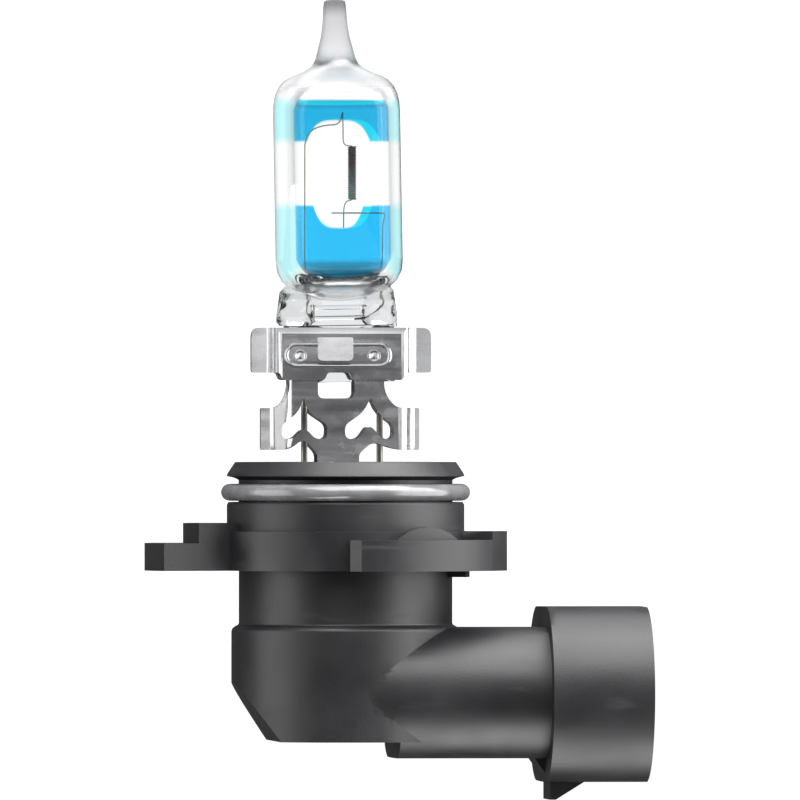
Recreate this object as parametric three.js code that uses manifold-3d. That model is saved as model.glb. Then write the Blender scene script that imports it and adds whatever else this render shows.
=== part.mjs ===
// Right-angle headlight bulb: quartz capsule in a welded sheet-metal carrier on a moulded plastic base.
// Millimetres, +Z towards the glass tip, +X towards the mouth of the connector.
// The origin is on the lamp axis, in the plane of the lugs' front faces, which seat against the headlamp.
import * as THREE from "three";
import { mergeVertices } from "three/addons/utils/BufferGeometryUtils.js";
import Module from "manifold-3d";

const wasm = await Module();
wasm.setup();

// ---- driving dimensions ----
const ROUND = 48; // facets round the base
const ARC = 8; // curve divisions; an arc gets twice as many facets

const COLLAR = { lip: 11.13, top: 10.33, lower: 11.1, groove: 10.0, topZ: 6.45, lipZ: 5.14 };
const GROOVE = { bottomZ: 2.71, topZ: 4.77 };
const RING = { section: 0.79, reach: 11.64, z: 3.62 };
const FLANGE = { top: 0, bottom: -3.69, radius: 12.0 };
const LUG_ROOT = 10.7; // inside the collar's wall, so that each lug is welded to it
const LEFT_LUG = { reach: 18.8, top: -1.12, padReach: 15.2, padTop: 0.75, halfAngle: 21 };
const FRONT_LUG = { reach: 15.1, from: -89.3, slant: 3.9, padFrom: -30, to: -4, step: 0.8 };
const HUMP = { x: 6.7, z: -4.0, radius: 4.4, halfArc: 68, reach: 13.4, from: -80, to: -20, footZ: -2.5 };
const REAR_LUG = { reach: 15.1, from: 42, to: 78 };
const LEDGE = { root: 9.58, reach: 11.6, from: -40, to: 20, overlap: 0.1 };
const NECK = { radius: 9.98, topZ: -4.3, bottomZ: -8.6 };
const ELBOW = { radius: 10.68, topZ: -9.2, chamferZ: -14.1, bottomZ: -19.63, chamferX: -7.0 };
const ARM = { z: -15.1, halfHeight: 6.12, flat: 4.48, startX: 4.4, endX: 18.6 };
const SHROUD = { z: -15.25, halfHeight: 8.2, backX: 18.39, mouthX: 27.8, wall: 1.7 };
const SOCKET_FLOOR = 19.6;
const LOCK_RAMP = [[17.2, -20.9], [18.9, -23.3], [18.9, -25.1], [19.4, -25.1], [22.3, -23.3], [22.3, -20.9]];
const LOCK_HALF_WIDTH = 3.4;
const CHAMBER = { radius: 8.3, floorZ: -12.6 };
const DISC = { radius: 8.0, bottomZ: 4.9 };
const POTTING = { radius: 8.0, bottomZ: -3.0, topZ: 4.4 };
const CUT_PAST = 1.2; // how far a cutting tool runs past the surface it cuts through

const LEAD = { radius: 0.3, leftX: -3.88, rightX: 3.2, topZ: 17.2, endZ: -7.4, clearance: 0.4 };
const BLADE = { pitch: 8.0, width: 2.8, thick: 0.8, tipX: 26.2, backX: -5.0, tabTopZ: -4.4 };
const BLADE_NOSE = { length: 1.2, step: 0.25 };
const BLADE_SLOT = { side: 0.15, half: 0.7, backX: -5.3, riserX: -4.0 };

const SHEET = 0.4;
const CLIP = { left: -8.88, right: 7.99, bottom: 14.8, top: 19.0, plateY: 2.35, lipZ: 14.1 };
const CLIP_PLATE = { left: -6.6, right: 5.85 };
const CLIP_CORNER = 0.9;
const CLIP_LIPS = { left: [-6.3, -1.8], right: [0.2, 5.7], slope: 0.3 };
const BEAD = { x: -0.5, z: 16.45, flat: 4.0, outer: 1.15, inner: 0.75, height: 0.22, root: 0.1 };
const TONGUE = { left: -2.6, right: 0.7, bottom: 15.8, top: 17.9, height: 0.25, root: 0.2 };
const FRAME = { left: -8.0, right: 6.87, bottom: 7.57, top: 11.5, plateY: 1.68 };
const FRAME_PLATE = { left: -5.94, right: 5.7 };
const LEGS = { left: [-5.42, -2.76], right: [0.7, 3.45], top: 17.3, footZ: 13.4, gapZ: 12.4, corner: 0.6 };
// Each opening: x of its point, x of its left and right lobes, z of the rise between them.
const OPENING = { left: [-4.07, -5.42, -2.59, 9.2], right: [2.18, 0.53, 3.68, 9.45], apexZ: 12.2, lobeZ: 9.3,
  lobe: 0.66 };
const STEM = { left: -2.8, right: 1.1, shoulderZ: 7.2, endZ: 5.0, slotGap: 0.3, faceGap: 0.25 };
const WING_GAP = 0.16; // from the lamp's middle plane to the inner face of a wing
const BEND = 0.55; // the run of the bend between a wing and the plate
const BEND_OFFSET = 0.35; // keeps the sheet's thickness through the bend

const GLASS = { radius: 5.94, wall: 1.5, pivotX: -0.43, pivotZ: 16, lean: 1.03, hollowX: 0.3 };
const PINCH = { halfThick: 1.25, ribHalfThick: 1.9, bottomZ: 13.9 };
const PINCH_WEB = [[-5.0, 13.9], [4.9, 13.9], [4.9, 19.25], [5.6, 19.6], [4.6, 24.2], [-4.6, 24.2],
  [-5.5, 19.6], [-5.0, 19.25]];
const PINCH_LEFT_RIB = [[-5.6, 19.45], [-2.3, 19.45], [-2.3, 23.6], [-4.7, 24.2]];
const PINCH_RIGHT_RIB = [[2.5, 19.45], [5.7, 19.45], [4.7, 24.2], [2.5, 23.6]];
const CHANNEL = { width: 2.7, depth: 1.0, topZ: 25.2 };
const COATING = { inner: 5.955, outer: 6.02, upper: [36.3, 40.1], lower: [24.7, 30.5] };

const INNER_LEAD = 0.22;
const FOIL = { width: 2.0, thick: 0.1, y: -0.38, bottomZ: 15.2, topZ: 18.8 };
const COIL = { x: 0.45, bottomZ: 31.2, topZ: 35.8, radius: 0.36, wire: 0.09, turns: 15, tail: 0.55 };

// ---- finishes ----
function finish(color, roughness, metalness) {
  return new THREE.MeshStandardMaterial({ color, roughness, metalness });
}

const plastic = finish(0x3f3f42, 0.42, 0);
const steel = finish(0x9a9c9e, 0.3, 1);
const silicone = finish(0xc9cbcc, 0.45, 0);
const resin = finish(0x5a4a3c, 0.6, 0);
const brass = finish(0xc9b16a, 0.3, 1);
const nickelWire = finish(0x8d8a86, 0.35, 1);
const tungsten = finish(0x6a6460, 0.5, 1);
const molybdenum = finish(0xa5a19b, 0.4, 1);

function glassFinish(color, opacity) {
  const material = finish(color, 0.05, 0);
  material.transparent = true;
  material.opacity = opacity;
  return material;
}
const quartz = glassFinish(0xe6eef0, 0.35);
const blueFilter = glassFinish(0x1fbdf5, 0.6);

// ---- solids ----
function solidOf(geometry) {
  geometry.deleteAttribute("normal");
  geometry.deleteAttribute("uv");
  const merged = mergeVertices(geometry, 1e-4);
  const kept = [];
  const index = merged.index.array;
  for (let i = 0; i < index.length; i += 3) {
    const [a, b, c] = index.slice(i, i + 3);
    if (a !== b && b !== c && c !== a) kept.push(a, b, c);
  }
  const vertProperties = new Float32Array(merged.attributes.position.array);
  return new wasm.Manifold(new wasm.Mesh({ numProp: 3, vertProperties, triVerts: new Uint32Array(kept) }));
}

function geometryOf(solid) {
  const mesh = solid.getMesh();
  const geometry = new THREE.BufferGeometry();
  geometry.setAttribute("position", new THREE.BufferAttribute(mesh.vertProperties, 3));
  geometry.setIndex(new THREE.BufferAttribute(mesh.triVerts, 1));
  return geometry;
}

const vector = (x, y) => new THREE.Vector2(x, y);
const degrees = THREE.MathUtils.degToRad;

// Turns a [radius, z] outline round the lamp axis.
function turned(outline, sides = ROUND) {
  const geometry = new THREE.LatheGeometry(outline.map(([r, z]) => vector(r, z)), sides);
  return solidOf(geometry.rotateX(Math.PI / 2));
}

// An outline drawn from above, raised from one z to another.
function raised(shape, bottom, top, curveSegments = ARC) {
  const options = { depth: top - bottom, bevelEnabled: false, curveSegments };
  const geometry = new THREE.ExtrudeGeometry(shape, options);
  return solidOf(geometry.translate(0, 0, bottom));
}

// An outline drawn in x and z, as seen from the front, and given its thickness from one y to another.
function fromFront(shape, nearY, farY, curveSegments = ARC) {
  const options = { depth: farY - nearY, bevelEnabled: false, curveSegments };
  const geometry = new THREE.ExtrudeGeometry(shape, options);
  return solidOf(geometry.rotateX(Math.PI / 2).translate(0, farY, 0));
}

// An outline drawn in y and z, carried along x.
function alongX(shape, startX, endX) {
  const options = { depth: endX - startX, bevelEnabled: false, curveSegments: ARC };
  const geometry = new THREE.ExtrudeGeometry(shape, options);
  return solidOf(geometry.rotateX(Math.PI / 2).rotateZ(Math.PI / 2).translate(startX, 0, 0));
}

const polygon = (points) => new THREE.Shape(points.map(([x, y]) => vector(x, y)));

function rectangle(left, right, bottom, top) {
  return polygon([[left, bottom], [right, bottom], [right, top], [left, top]]);
}

const box = (x, y, z) => fromFront(rectangle(x[0], x[1], z[0], z[1]), y[0], y[1]);

// A flat-sided oval: two half circles joined by straight stretches along the first axis.
function oval(flat, radius, centreZ = 0) {
  const shape = new THREE.Shape();
  shape.absarc(flat, centreZ, radius, -Math.PI / 2, Math.PI / 2);
  shape.absarc(-flat, centreZ, radius, Math.PI / 2, 1.5 * Math.PI);
  return shape;
}

// A sector of a disc round the lamp axis, between two angles in degrees. Its first end may be slanted.
function sector(inner, outer, from, to, slant = 0) {
  const shape = new THREE.Shape();
  shape.absarc(0, 0, outer, degrees(from), degrees(to));
  shape.absarc(0, 0, inner, degrees(to), degrees(from - slant), true);
  return shape;
}

const disc = (radius, bottom, top) => turned([[0, bottom], [radius, bottom], [radius, top], [0, top]]);

// A straight round bar along the lamp axis direction, used for holes.
function bar(x, y, radius, bottom, top) {
  return turned([[0, bottom], [radius, bottom], [radius, top], [0, top]], 2 * ARC).translate(x, y, 0);
}

// A round wire along a smooth curve through the given points, with twice as many sides as divisions.
function wire(points, radius, steps, divisions = 3) {
  const path = new THREE.CatmullRomCurve3(points.map((p) => new THREE.Vector3(...p)), false, "centripetal");
  const section = new THREE.Shape();
  section.absarc(0, 0, radius, 0, 2 * Math.PI);
  const options = { steps, extrudePath: path, curveSegments: divisions, bevelEnabled: false };
  return solidOf(new THREE.ExtrudeGeometry(section, options));
}

const mirroredY = (solid) => solid.mirror([0, 1, 0]);

const part = new THREE.Group();
const capsule = new THREE.Group(); // leans a little, because the filament is set true and not the glass
part.add(capsule);

function addPiece(name, solid, material, group = part) {
  const mesh = new THREE.Mesh(geometryOf(solid), material);
  mesh.name = name;
  group.add(mesh);
}

// ---- moulded base ----
function baseRevolve() {
  return turned([
    [0, ELBOW.bottomZ], [ELBOW.radius, ELBOW.bottomZ], [ELBOW.radius, ELBOW.topZ],
    [NECK.radius, NECK.bottomZ], [NECK.radius, FLANGE.bottom], [FLANGE.radius, FLANGE.bottom],
    [FLANGE.radius, FLANGE.top], [COLLAR.lower, FLANGE.top], [COLLAR.lower, GROOVE.bottomZ],
    [COLLAR.groove, GROOVE.bottomZ], [COLLAR.groove, GROOVE.topZ], [COLLAR.lip, COLLAR.lipZ],
    [COLLAR.top, COLLAR.topZ], [CHAMBER.radius, COLLAR.topZ], [CHAMBER.radius, CHAMBER.floorZ],
    [0, CHAMBER.floorZ],
  ]);
}

// The wedge that takes the heel off the elbow: its long side passes through both ends of the chamfer.
function elbowChamfer() {
  const rise = ELBOW.chamferZ - ELBOW.bottomZ;
  const run = ELBOW.chamferX + ELBOW.radius;
  const top = [-ELBOW.radius - run, ELBOW.chamferZ + rise];
  const foot = [ELBOW.chamferX + run, ELBOW.bottomZ - rise];
  const reach = ELBOW.radius + CUT_PAST;
  return fromFront(polygon([[top[0], foot[1]], foot, top]), -reach, reach);
}

function lugs() {
  const left = LEFT_LUG;
  const leftEnds = [180 - left.halfAngle, 180 + left.halfAngle];
  const bottom = FLANGE.bottom;
  const leftLug = raised(sector(LUG_ROOT, left.reach, ...leftEnds), bottom, left.top);
  const leftPad = raised(sector(LUG_ROOT, left.padReach, ...leftEnds), bottom, left.padTop);
  const { reach, from, slant, padFrom, to, step } = FRONT_LUG;
  const frontLug = raised(sector(LUG_ROOT, reach, from, to, slant), bottom, FLANGE.top - step);
  const frontPad = raised(sector(LUG_ROOT, reach, padFrom, to), bottom, FLANGE.top);
  const rearLug = raised(sector(LUG_ROOT, REAR_LUG.reach, REAR_LUG.from, REAR_LUG.to), bottom, FLANGE.top);
  const ledgePlan = sector(LEDGE.root, LEDGE.reach, LEDGE.from, LEDGE.to);
  const ledge = raised(ledgePlan, NECK.topZ, bottom + LEDGE.overlap);
  return [leftLug, leftPad, frontLug, frontPad, rearLug, ledge];
}

// A low hump on the front lug, which takes up the play when the bulb is turned home.
function lugHump() {
  const hump = new THREE.Shape();
  hump.absarc(HUMP.x, HUMP.z, HUMP.radius, degrees(90 - HUMP.halfArc), degrees(90 + HUMP.halfArc));
  const slab = fromFront(hump, -FRONT_LUG.reach, 0);
  const top = HUMP.z + HUMP.radius + CUT_PAST;
  return slab.intersect(raised(sector(LUG_ROOT, HUMP.reach, HUMP.from, HUMP.to), HUMP.footZ, top));
}

function armAndShroud() {
  const lowest = ARM.z - ARM.halfHeight - CUT_PAST;
  const below = box([-CUT_PAST, ARM.startX], [-ELBOW.radius - CUT_PAST, ELBOW.radius + CUT_PAST],
    [lowest, ELBOW.bottomZ]);
  const arm = alongX(oval(ARM.flat, ARM.halfHeight, ARM.z), 0, ARM.endX).subtract(below);
  const shroud = alongX(oval(ARM.flat, SHROUD.halfHeight, SHROUD.z), SHROUD.backX, SHROUD.mouthX);
  const lock = fromFront(polygon(LOCK_RAMP), -LOCK_HALF_WIDTH, LOCK_HALF_WIDTH);
  return arm.add(shroud).add(lock);
}

function baseCavities() {
  const inner = SHROUD.halfHeight - SHROUD.wall;
  const socket = alongX(oval(ARM.flat, inner, SHROUD.z), SOCKET_FLOOR, SHROUD.mouthX + CUT_PAST);
  const side = BLADE.pitch / 2;
  const halfWidth = BLADE.width / 2 + BLADE_SLOT.side;
  const { half, backX, riserX } = BLADE_SLOT;
  const bottom = SHROUD.z - half;
  const slots = [-side, side].map((y) => {
    return box([backX, SOCKET_FLOOR + CUT_PAST], [y - halfWidth, y + halfWidth], [bottom, SHROUD.z + half]);
  });
  const risers = [-side, side].map((y) => {
    return box([backX, riserX], [y - halfWidth, y + halfWidth], [bottom, CHAMBER.floorZ + CUT_PAST]);
  });
  return [socket, ...slots, ...risers];
}

function baseBody() {
  const joined = [...lugs(), lugHump()].reduce((solid, extra) => solid.add(extra), baseRevolve());
  const chamber = disc(CHAMBER.radius, CHAMBER.floorZ, COLLAR.topZ + CUT_PAST);
  const shaped = joined.subtract(elbowChamfer()).add(armAndShroud()).subtract(chamber);
  return baseCavities().reduce((solid, cavity) => solid.subtract(cavity), shaped);
}

// ---- seal, disc and filling ----
function sealingRing() {
  const centre = RING.reach - RING.section;
  const outline = [];
  const sides = 2 * ARC;
  for (let i = 0; i <= sides; i += 1) {
    const angle = -(2 * Math.PI * i) / sides;
    outline.push([centre - RING.section * Math.cos(angle), RING.z + RING.section * Math.sin(angle)]);
  }
  outline[sides] = outline[0];
  return turned(outline);
}

// The two holes that the outer leads run through, with room round each lead.
const leadHoles = [LEAD.leftX, LEAD.rightX].map((x) => {
  return bar(x, 0, LEAD.radius + LEAD.clearance, POTTING.bottomZ - CUT_PAST, COLLAR.topZ + CUT_PAST);
});

function retainerDisc() {
  const near = FRAME.plateY - STEM.faceGap;
  const far = FRAME.plateY + SHEET + STEM.faceGap;
  const x = [STEM.left - STEM.slotGap, STEM.right + STEM.slotGap];
  const z = [DISC.bottomZ - CUT_PAST, COLLAR.topZ + CUT_PAST];
  const slots = [[near, far], [-far, -near]].map((y) => box(x, y, z));
  const blank = disc(DISC.radius, DISC.bottomZ, COLLAR.topZ);
  return [...slots, ...leadHoles].reduce((solid, cut) => solid.subtract(cut), blank);
}

function pottingPlug() {
  const blank = disc(POTTING.radius, POTTING.bottomZ, POTTING.topZ);
  return leadHoles.reduce((solid, hole) => solid.subtract(hole), blank);
}

// ---- electrical path ----
function terminal(side) {
  const bottom = SHROUD.z - BLADE.thick / 2;
  const top = SHROUD.z + BLADE.thick / 2;
  const back = BLADE.backX;
  const tab = back + BLADE.thick;
  const shoulder = BLADE.tipX - BLADE_NOSE.length;
  const outline = polygon([[back, bottom], [shoulder, bottom], [BLADE.tipX, bottom + BLADE_NOSE.step],
    [BLADE.tipX, top - BLADE_NOSE.step], [shoulder, top], [tab, top], [tab, BLADE.tabTopZ],
    [back, BLADE.tabTopZ]]);
  const centre = (side * BLADE.pitch) / 2;
  return fromFront(outline, centre - BLADE.width / 2, centre + BLADE.width / 2);
}

// From the foil, down through the carrier and the disc, and across to the tab of its terminal.
function outerLead(x, side) {
  const weldX = BLADE.backX + BLADE.thick + LEAD.radius + 0.1;
  const weldY = (side * BLADE.pitch) / 2;
  return wire([
    [x, 0, LEAD.topZ], [x, 0, 12], [x, 0, POTTING.bottomZ + 0.2], [x * 0.9 + weldX * 0.1, weldY * 0.15, -3.6],
    [weldX, weldY * 0.85, -4.5], [weldX, weldY, -5.2], [weldX, weldY, LEAD.endZ],
  ], LEAD.radius, 40, 4);
}

function foil(x) {
  const half = FOIL.width / 2;
  const y = [FOIL.y - FOIL.thick / 2, FOIL.y + FOIL.thick / 2];
  return box([x - half, x + half], y, [FOIL.bottomZ, FOIL.topZ]);
}

function longInnerLead() {
  return wire([
    [LEAD.leftX, 0, 18.4], [-3.97, 0, 22], [-3.97, 0, 35.6], [-3.5, 0, 36.9], [-2.2, 0, 37.45],
    [-0.95, 0, 37.35], [-0.4, 0, 36.8], [-0.33, 0, 36.1],
  ], INNER_LEAD, 40);
}

function shortInnerLead() {
  return wire([
    [LEAD.rightX, 0, 18.4], [3.25, 0, 22], [3.5, 0, 28.6], [3.0, 0, 29.55], [2.2, 0, 29.7],
    [0.2, 0, 29.7], [-0.35, 0, 29.95], [-0.45, 0, 30.6],
  ], INNER_LEAD, 36);
}

function filamentCoil() {
  const points = [[COIL.x - COIL.tail, COIL.tail / 2, COIL.bottomZ - COIL.tail]];
  const perTurn = 9;
  const steps = COIL.turns * perTurn;
  for (let i = 0; i <= steps; i += 1) {
    const angle = (2 * Math.PI * i) / perTurn;
    const z = COIL.bottomZ + ((COIL.topZ - COIL.bottomZ) * i) / steps;
    points.push([COIL.x + COIL.radius * Math.cos(angle), COIL.radius * Math.sin(angle), z]);
  }
  points.push([COIL.x - COIL.tail, COIL.tail / 2, COIL.topZ + COIL.tail]);
  return wire(points, COIL.wire, steps + 8);
}

// ---- sheet-metal carrier ----
// The plan of one stamped half: wings beside the lamp's middle plane and a plate standing off from it.
function halfPlan({ left, right, plateY }, plate) {
  const wing = -WING_GAP;
  const flat = [plate.left + BEND, plate.right - BEND];
  const inner = [[left, wing], [plate.left, wing], [flat[0], -plateY], [flat[1], -plateY],
    [plate.right, wing], [right, wing]];
  const outer = [[right, wing - SHEET], [plate.right + BEND_OFFSET, wing - SHEET],
    [flat[1] + BEND_OFFSET, -plateY - SHEET], [flat[0] - BEND_OFFSET, -plateY - SHEET],
    [plate.left - BEND_OFFSET, wing - SHEET], [left, wing - SHEET]];
  return polygon([...inner, ...outer].reverse());
}

function clipOutline() {
  const { left, right, slope } = CLIP_LIPS;
  const outline = new THREE.Shape();
  outline.moveTo(CLIP.left, CLIP.bottom);
  for (const [start, end] of [left, right]) {
    outline.lineTo(start, CLIP.bottom);
    outline.lineTo(start + slope, CLIP.lipZ);
    outline.lineTo(end - slope, CLIP.lipZ);
    outline.lineTo(end, CLIP.bottom);
  }
  outline.lineTo(CLIP.right, CLIP.bottom);
  const cornerZ = CLIP.top - CLIP_CORNER;
  outline.absarc(CLIP.right - CLIP_CORNER, cornerZ, CLIP_CORNER, 0, Math.PI / 2);
  outline.absarc(CLIP.left + CLIP_CORNER, cornerZ, CLIP_CORNER, Math.PI / 2, Math.PI);
  return outline;
}

function clipHalf() {
  const plan = halfPlan(CLIP, CLIP_PLATE);
  const reach = CLIP.plateY + SHEET + CUT_PAST;
  const strip = raised(plan, CLIP.lipZ - CUT_PAST, CLIP.top + CUT_PAST);
  const sheet = strip.intersect(fromFront(clipOutline(), -reach, 0));
  const face = -CLIP.plateY - SHEET;
  const tongue = box([TONGUE.left, TONGUE.right], [face - TONGUE.height, face + TONGUE.root],
    [TONGUE.bottom, TONGUE.top]);
  return sheet.add(beadRing(face)).add(tongue);
}

// The long oval bead pressed into the plate, which stiffens it.
function beadRing(face) {
  const outline = oval(BEAD.flat, BEAD.outer, BEAD.z);
  outline.holes.push(new THREE.Path(oval(BEAD.flat, BEAD.inner, BEAD.z).getPoints(ARC)));
  return fromFront(outline, face - BEAD.height, face + BEAD.root).translate(BEAD.x, 0, 0);
}

// A hole like a wide forked leaf: a point at the top, two round lobes below and a rise between them.
function forkedOpening(apexX, leftX, rightX, notchZ) {
  const { apexZ, lobeZ, lobe } = OPENING;
  const shoulderZ = lobeZ + lobe;
  const middleX = (leftX + rightX) / 2;
  const opening = new THREE.Path();
  opening.moveTo(apexX, apexZ);
  opening.quadraticCurveTo(apexX - lobe / 2, lobeZ + 2 * lobe, leftX - lobe / 2, shoulderZ);
  opening.absarc(leftX, lobeZ, lobe, degrees(140), degrees(300));
  opening.quadraticCurveTo(middleX, notchZ - lobe / 4, middleX, notchZ);
  opening.quadraticCurveTo(middleX, notchZ - lobe / 4, rightX - lobe / 2, lobeZ - lobe);
  opening.absarc(rightX, lobeZ, lobe, degrees(-90), degrees(40));
  opening.quadraticCurveTo(apexX + lobe / 2, lobeZ + 2 * lobe, apexX, apexZ);
  return opening;
}

// From the shoulder of the right wing, over both legs and the gap between them, to the left wing.
function legOutline(outline) {
  const { left, right, top, footZ, gapZ, corner } = LEGS;
  outline.lineTo(right[1] + 2 * corner, FRAME.top);
  outline.quadraticCurveTo(right[1], FRAME.top + corner, right[1], footZ);
  outline.lineTo(right[1], top);
  outline.lineTo(right[0], top);
  outline.lineTo(right[0], gapZ + corner);
  outline.quadraticCurveTo(right[0], gapZ, right[0] - corner, gapZ);
  outline.lineTo(left[1] + corner, gapZ);
  outline.quadraticCurveTo(left[1], gapZ, left[1], gapZ + corner);
  outline.lineTo(left[1], top);
  outline.lineTo(left[0], top);
  outline.lineTo(left[0], footZ);
  outline.quadraticCurveTo(left[0], FRAME.top + corner, left[0] - corner, FRAME.top);
}

function frameOutline() {
  const arch = 0.75;
  const archZ = FRAME.bottom + 2 * arch;
  const outline = new THREE.Shape();
  outline.moveTo(FRAME.left, FRAME.bottom);
  outline.lineTo(FRAME_PLATE.left, FRAME.bottom);
  outline.quadraticCurveTo(LEAD.leftX, archZ, STEM.left, STEM.shoulderZ);
  outline.lineTo(STEM.left, STEM.endZ);
  outline.lineTo(STEM.right, STEM.endZ);
  outline.lineTo(STEM.right, STEM.shoulderZ);
  outline.quadraticCurveTo(LEAD.rightX - arch, archZ, FRAME_PLATE.right - BEND, FRAME.bottom);
  outline.lineTo(FRAME.right, FRAME.bottom);
  outline.lineTo(FRAME.right, FRAME.top);
  legOutline(outline);
  outline.lineTo(FRAME.left, FRAME.top);
  return outline;
}

function frameHalf() {
  const outline = frameOutline();
  outline.holes.push(forkedOpening(...OPENING.left));
  outline.holes.push(forkedOpening(...OPENING.right));
  const reach = FRAME.plateY + SHEET + CUT_PAST;
  const strip = raised(halfPlan(FRAME, FRAME_PLATE), STEM.endZ - CUT_PAST, LEGS.top + CUT_PAST);
  return strip.intersect(fromFront(outline, -reach, 0));
}

// ---- quartz capsule ----
// In the capsule's own frame the axis is x = 0 and z is measured from the clip's middle.
const up = (z) => z - GLASS.pivotZ;

function capsuleOuter() {
  return turned([
    [0, up(21.6)], [2.4, up(21.9)], [4.4, up(22.6)], [5.5, up(23.6)], [GLASS.radius, up(25.0)],
    [GLASS.radius, up(39.4)], [5.8, up(40.6)], [5.3, up(41.8)], [4.6, up(42.4)], [3.2, up(42.9)],
    [2.35, up(43.5)], [1.87, up(44.1)], [1.6, up(45.1)], [1.3, up(46.3)], [1.1, up(48.2)],
    [1.02, up(49.4)], [0.7, up(49.7)], [0, up(49.7)],
  ]);
}

function capsuleHollow() {
  const radius = GLASS.radius - GLASS.wall;
  return turned([
    [0, up(24.2)], [2.6, up(24.3)], [3.9, up(24.8)], [radius, up(25.9)], [radius, up(39.3)],
    [4.1, up(40.6)], [3.3, up(41.4)], [1.6, up(42.2)], [0.75, up(43.4)], [0.5, up(45.5)], [0, up(46.2)],
  ]).translate(GLASS.hollowX, 0, 0);
}

function pinchBlock() {
  const slab = (outline, half) => fromFront(polygon(outline.map(([x, z]) => [x, up(z)])), -half, half);
  const web = slab(PINCH_WEB, PINCH.halfThick);
  const ribs = [PINCH_LEFT_RIB, PINCH_RIGHT_RIB].map((rib) => slab(rib, PINCH.ribHalfThick));
  return web.add(ribs[0]).add(ribs[1]);
}

function glassEnvelope() {
  const half = CHANNEL.width / 2;
  const channels = [LEAD.leftX, LEAD.rightX].map((x) => {
    const local = x - GLASS.pivotX;
    const y = [-CHANNEL.depth / 2, CHANNEL.depth / 2];
    return box([local - half, local + half], y, [up(PINCH.bottomZ) - CUT_PAST, up(CHANNEL.topZ)]);
  });
  const shell = capsuleOuter().add(pinchBlock()).subtract(capsuleHollow());
  return channels.reduce((solid, channel) => solid.subtract(channel), shell);
}

function coatingBand([bottom, top]) {
  const { inner, outer } = COATING;
  const low = up(bottom);
  const high = up(top);
  return turned([[inner, low], [outer, low], [outer, high], [inner, high], [inner, low]]);
}

// ---- assembly ----
capsule.position.set(GLASS.pivotX, 0, GLASS.pivotZ);
capsule.rotation.y = -degrees(GLASS.lean);

addPiece("base_body", baseBody(), plastic);
addPiece("sealing_ring", sealingRing(), silicone);
addPiece("retainer_disc", retainerDisc(), plastic);
addPiece("potting_plug", pottingPlug(), resin);
addPiece("terminal_front", terminal(-1), brass);
addPiece("terminal_rear", terminal(1), brass);
addPiece("outer_lead_left", outerLead(LEAD.leftX, -1), nickelWire);
addPiece("outer_lead_right", outerLead(LEAD.rightX, 1), nickelWire);
addPiece("carrier_frame_front", frameHalf(), steel);
addPiece("carrier_frame_rear", mirroredY(frameHalf()), steel);
addPiece("pinch_clip_front", clipHalf(), steel);
addPiece("pinch_clip_rear", mirroredY(clipHalf()), steel);
addPiece("foil_left", foil(LEAD.leftX), molybdenum);
addPiece("foil_right", foil(LEAD.rightX), molybdenum);
addPiece("inner_lead_long", longInnerLead(), nickelWire);
addPiece("inner_lead_short", shortInnerLead(), nickelWire);
addPiece("filament_coil", filamentCoil(), tungsten);
addPiece("glass_envelope", glassEnvelope(), quartz, capsule);
addPiece("blue_coating_upper", coatingBand(COATING.upper), blueFilter, capsule);
addPiece("blue_coating_lower", coatingBand(COATING.lower), blueFilter, capsule);

export default part;
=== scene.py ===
# %% [markdown]
# # A right-angle headlight bulb
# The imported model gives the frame: every piece has its place and size there, in metres, with +Z
# towards the glass tip and +X towards the connector. This notebook gives each piece its real surface.
# The order follows the bench: the moulded base first, then seal, terminals, metal carrier, glass and
# filament, and at the end the studio. The frame is loaded before anything else, because every
# position below is read from it or set against it.

# %% Load the frame
from math import cos, pi, radians, sin

import bmesh
import bpy
from mathutils import Matrix, Vector


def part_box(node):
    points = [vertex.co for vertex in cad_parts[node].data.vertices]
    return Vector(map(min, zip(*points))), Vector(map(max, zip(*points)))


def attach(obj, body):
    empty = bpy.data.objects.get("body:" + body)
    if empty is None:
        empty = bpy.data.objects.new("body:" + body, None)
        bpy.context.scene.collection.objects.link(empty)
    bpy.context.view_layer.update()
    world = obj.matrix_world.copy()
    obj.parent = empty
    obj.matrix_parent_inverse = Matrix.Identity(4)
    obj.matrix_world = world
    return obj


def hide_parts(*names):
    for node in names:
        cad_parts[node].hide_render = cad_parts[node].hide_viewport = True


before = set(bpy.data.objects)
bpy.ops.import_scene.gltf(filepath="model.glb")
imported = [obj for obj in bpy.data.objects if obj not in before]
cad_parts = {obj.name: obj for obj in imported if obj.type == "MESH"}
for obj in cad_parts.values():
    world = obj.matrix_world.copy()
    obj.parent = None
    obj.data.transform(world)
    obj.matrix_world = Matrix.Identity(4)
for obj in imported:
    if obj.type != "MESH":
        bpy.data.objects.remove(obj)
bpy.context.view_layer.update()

MM = 0.001
BODY = "root"

# %% [markdown]
# ## Tools of the bench
# Nearly every piece of a bulb is turned, moulded, drawn or stamped. So there is a helper for each of
# these: `turned` spins an outline about an axis as a lathe does, `prism` pushes a flat outline
# through a thickness as a punch does, and `drawn_wire` pulls a round section along a course. `joined`
# and `cut` weld or punch with a Boolean modifier and keep the result. Outlines are written in
# millimetres, because that is how the parts are drawn, and the helpers turn them into metres.

# %% Outlines and their rounded corners
def corner_curve(before, corner, after, radius, steps):
    """The short curve that replaces a sharp corner."""
    to_before, to_after = before - corner, after - corner
    reach = min(radius, to_before.length * 0.49, to_after.length * 0.49)
    start = corner + to_before.normalized() * reach
    end = corner + to_after.normalized() * reach
    spots = [k / steps for k in range(steps + 1)]
    return [start * (1 - t) ** 2 + corner * 2 * t * (1 - t) + end * t ** 2 for t in spots]


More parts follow.
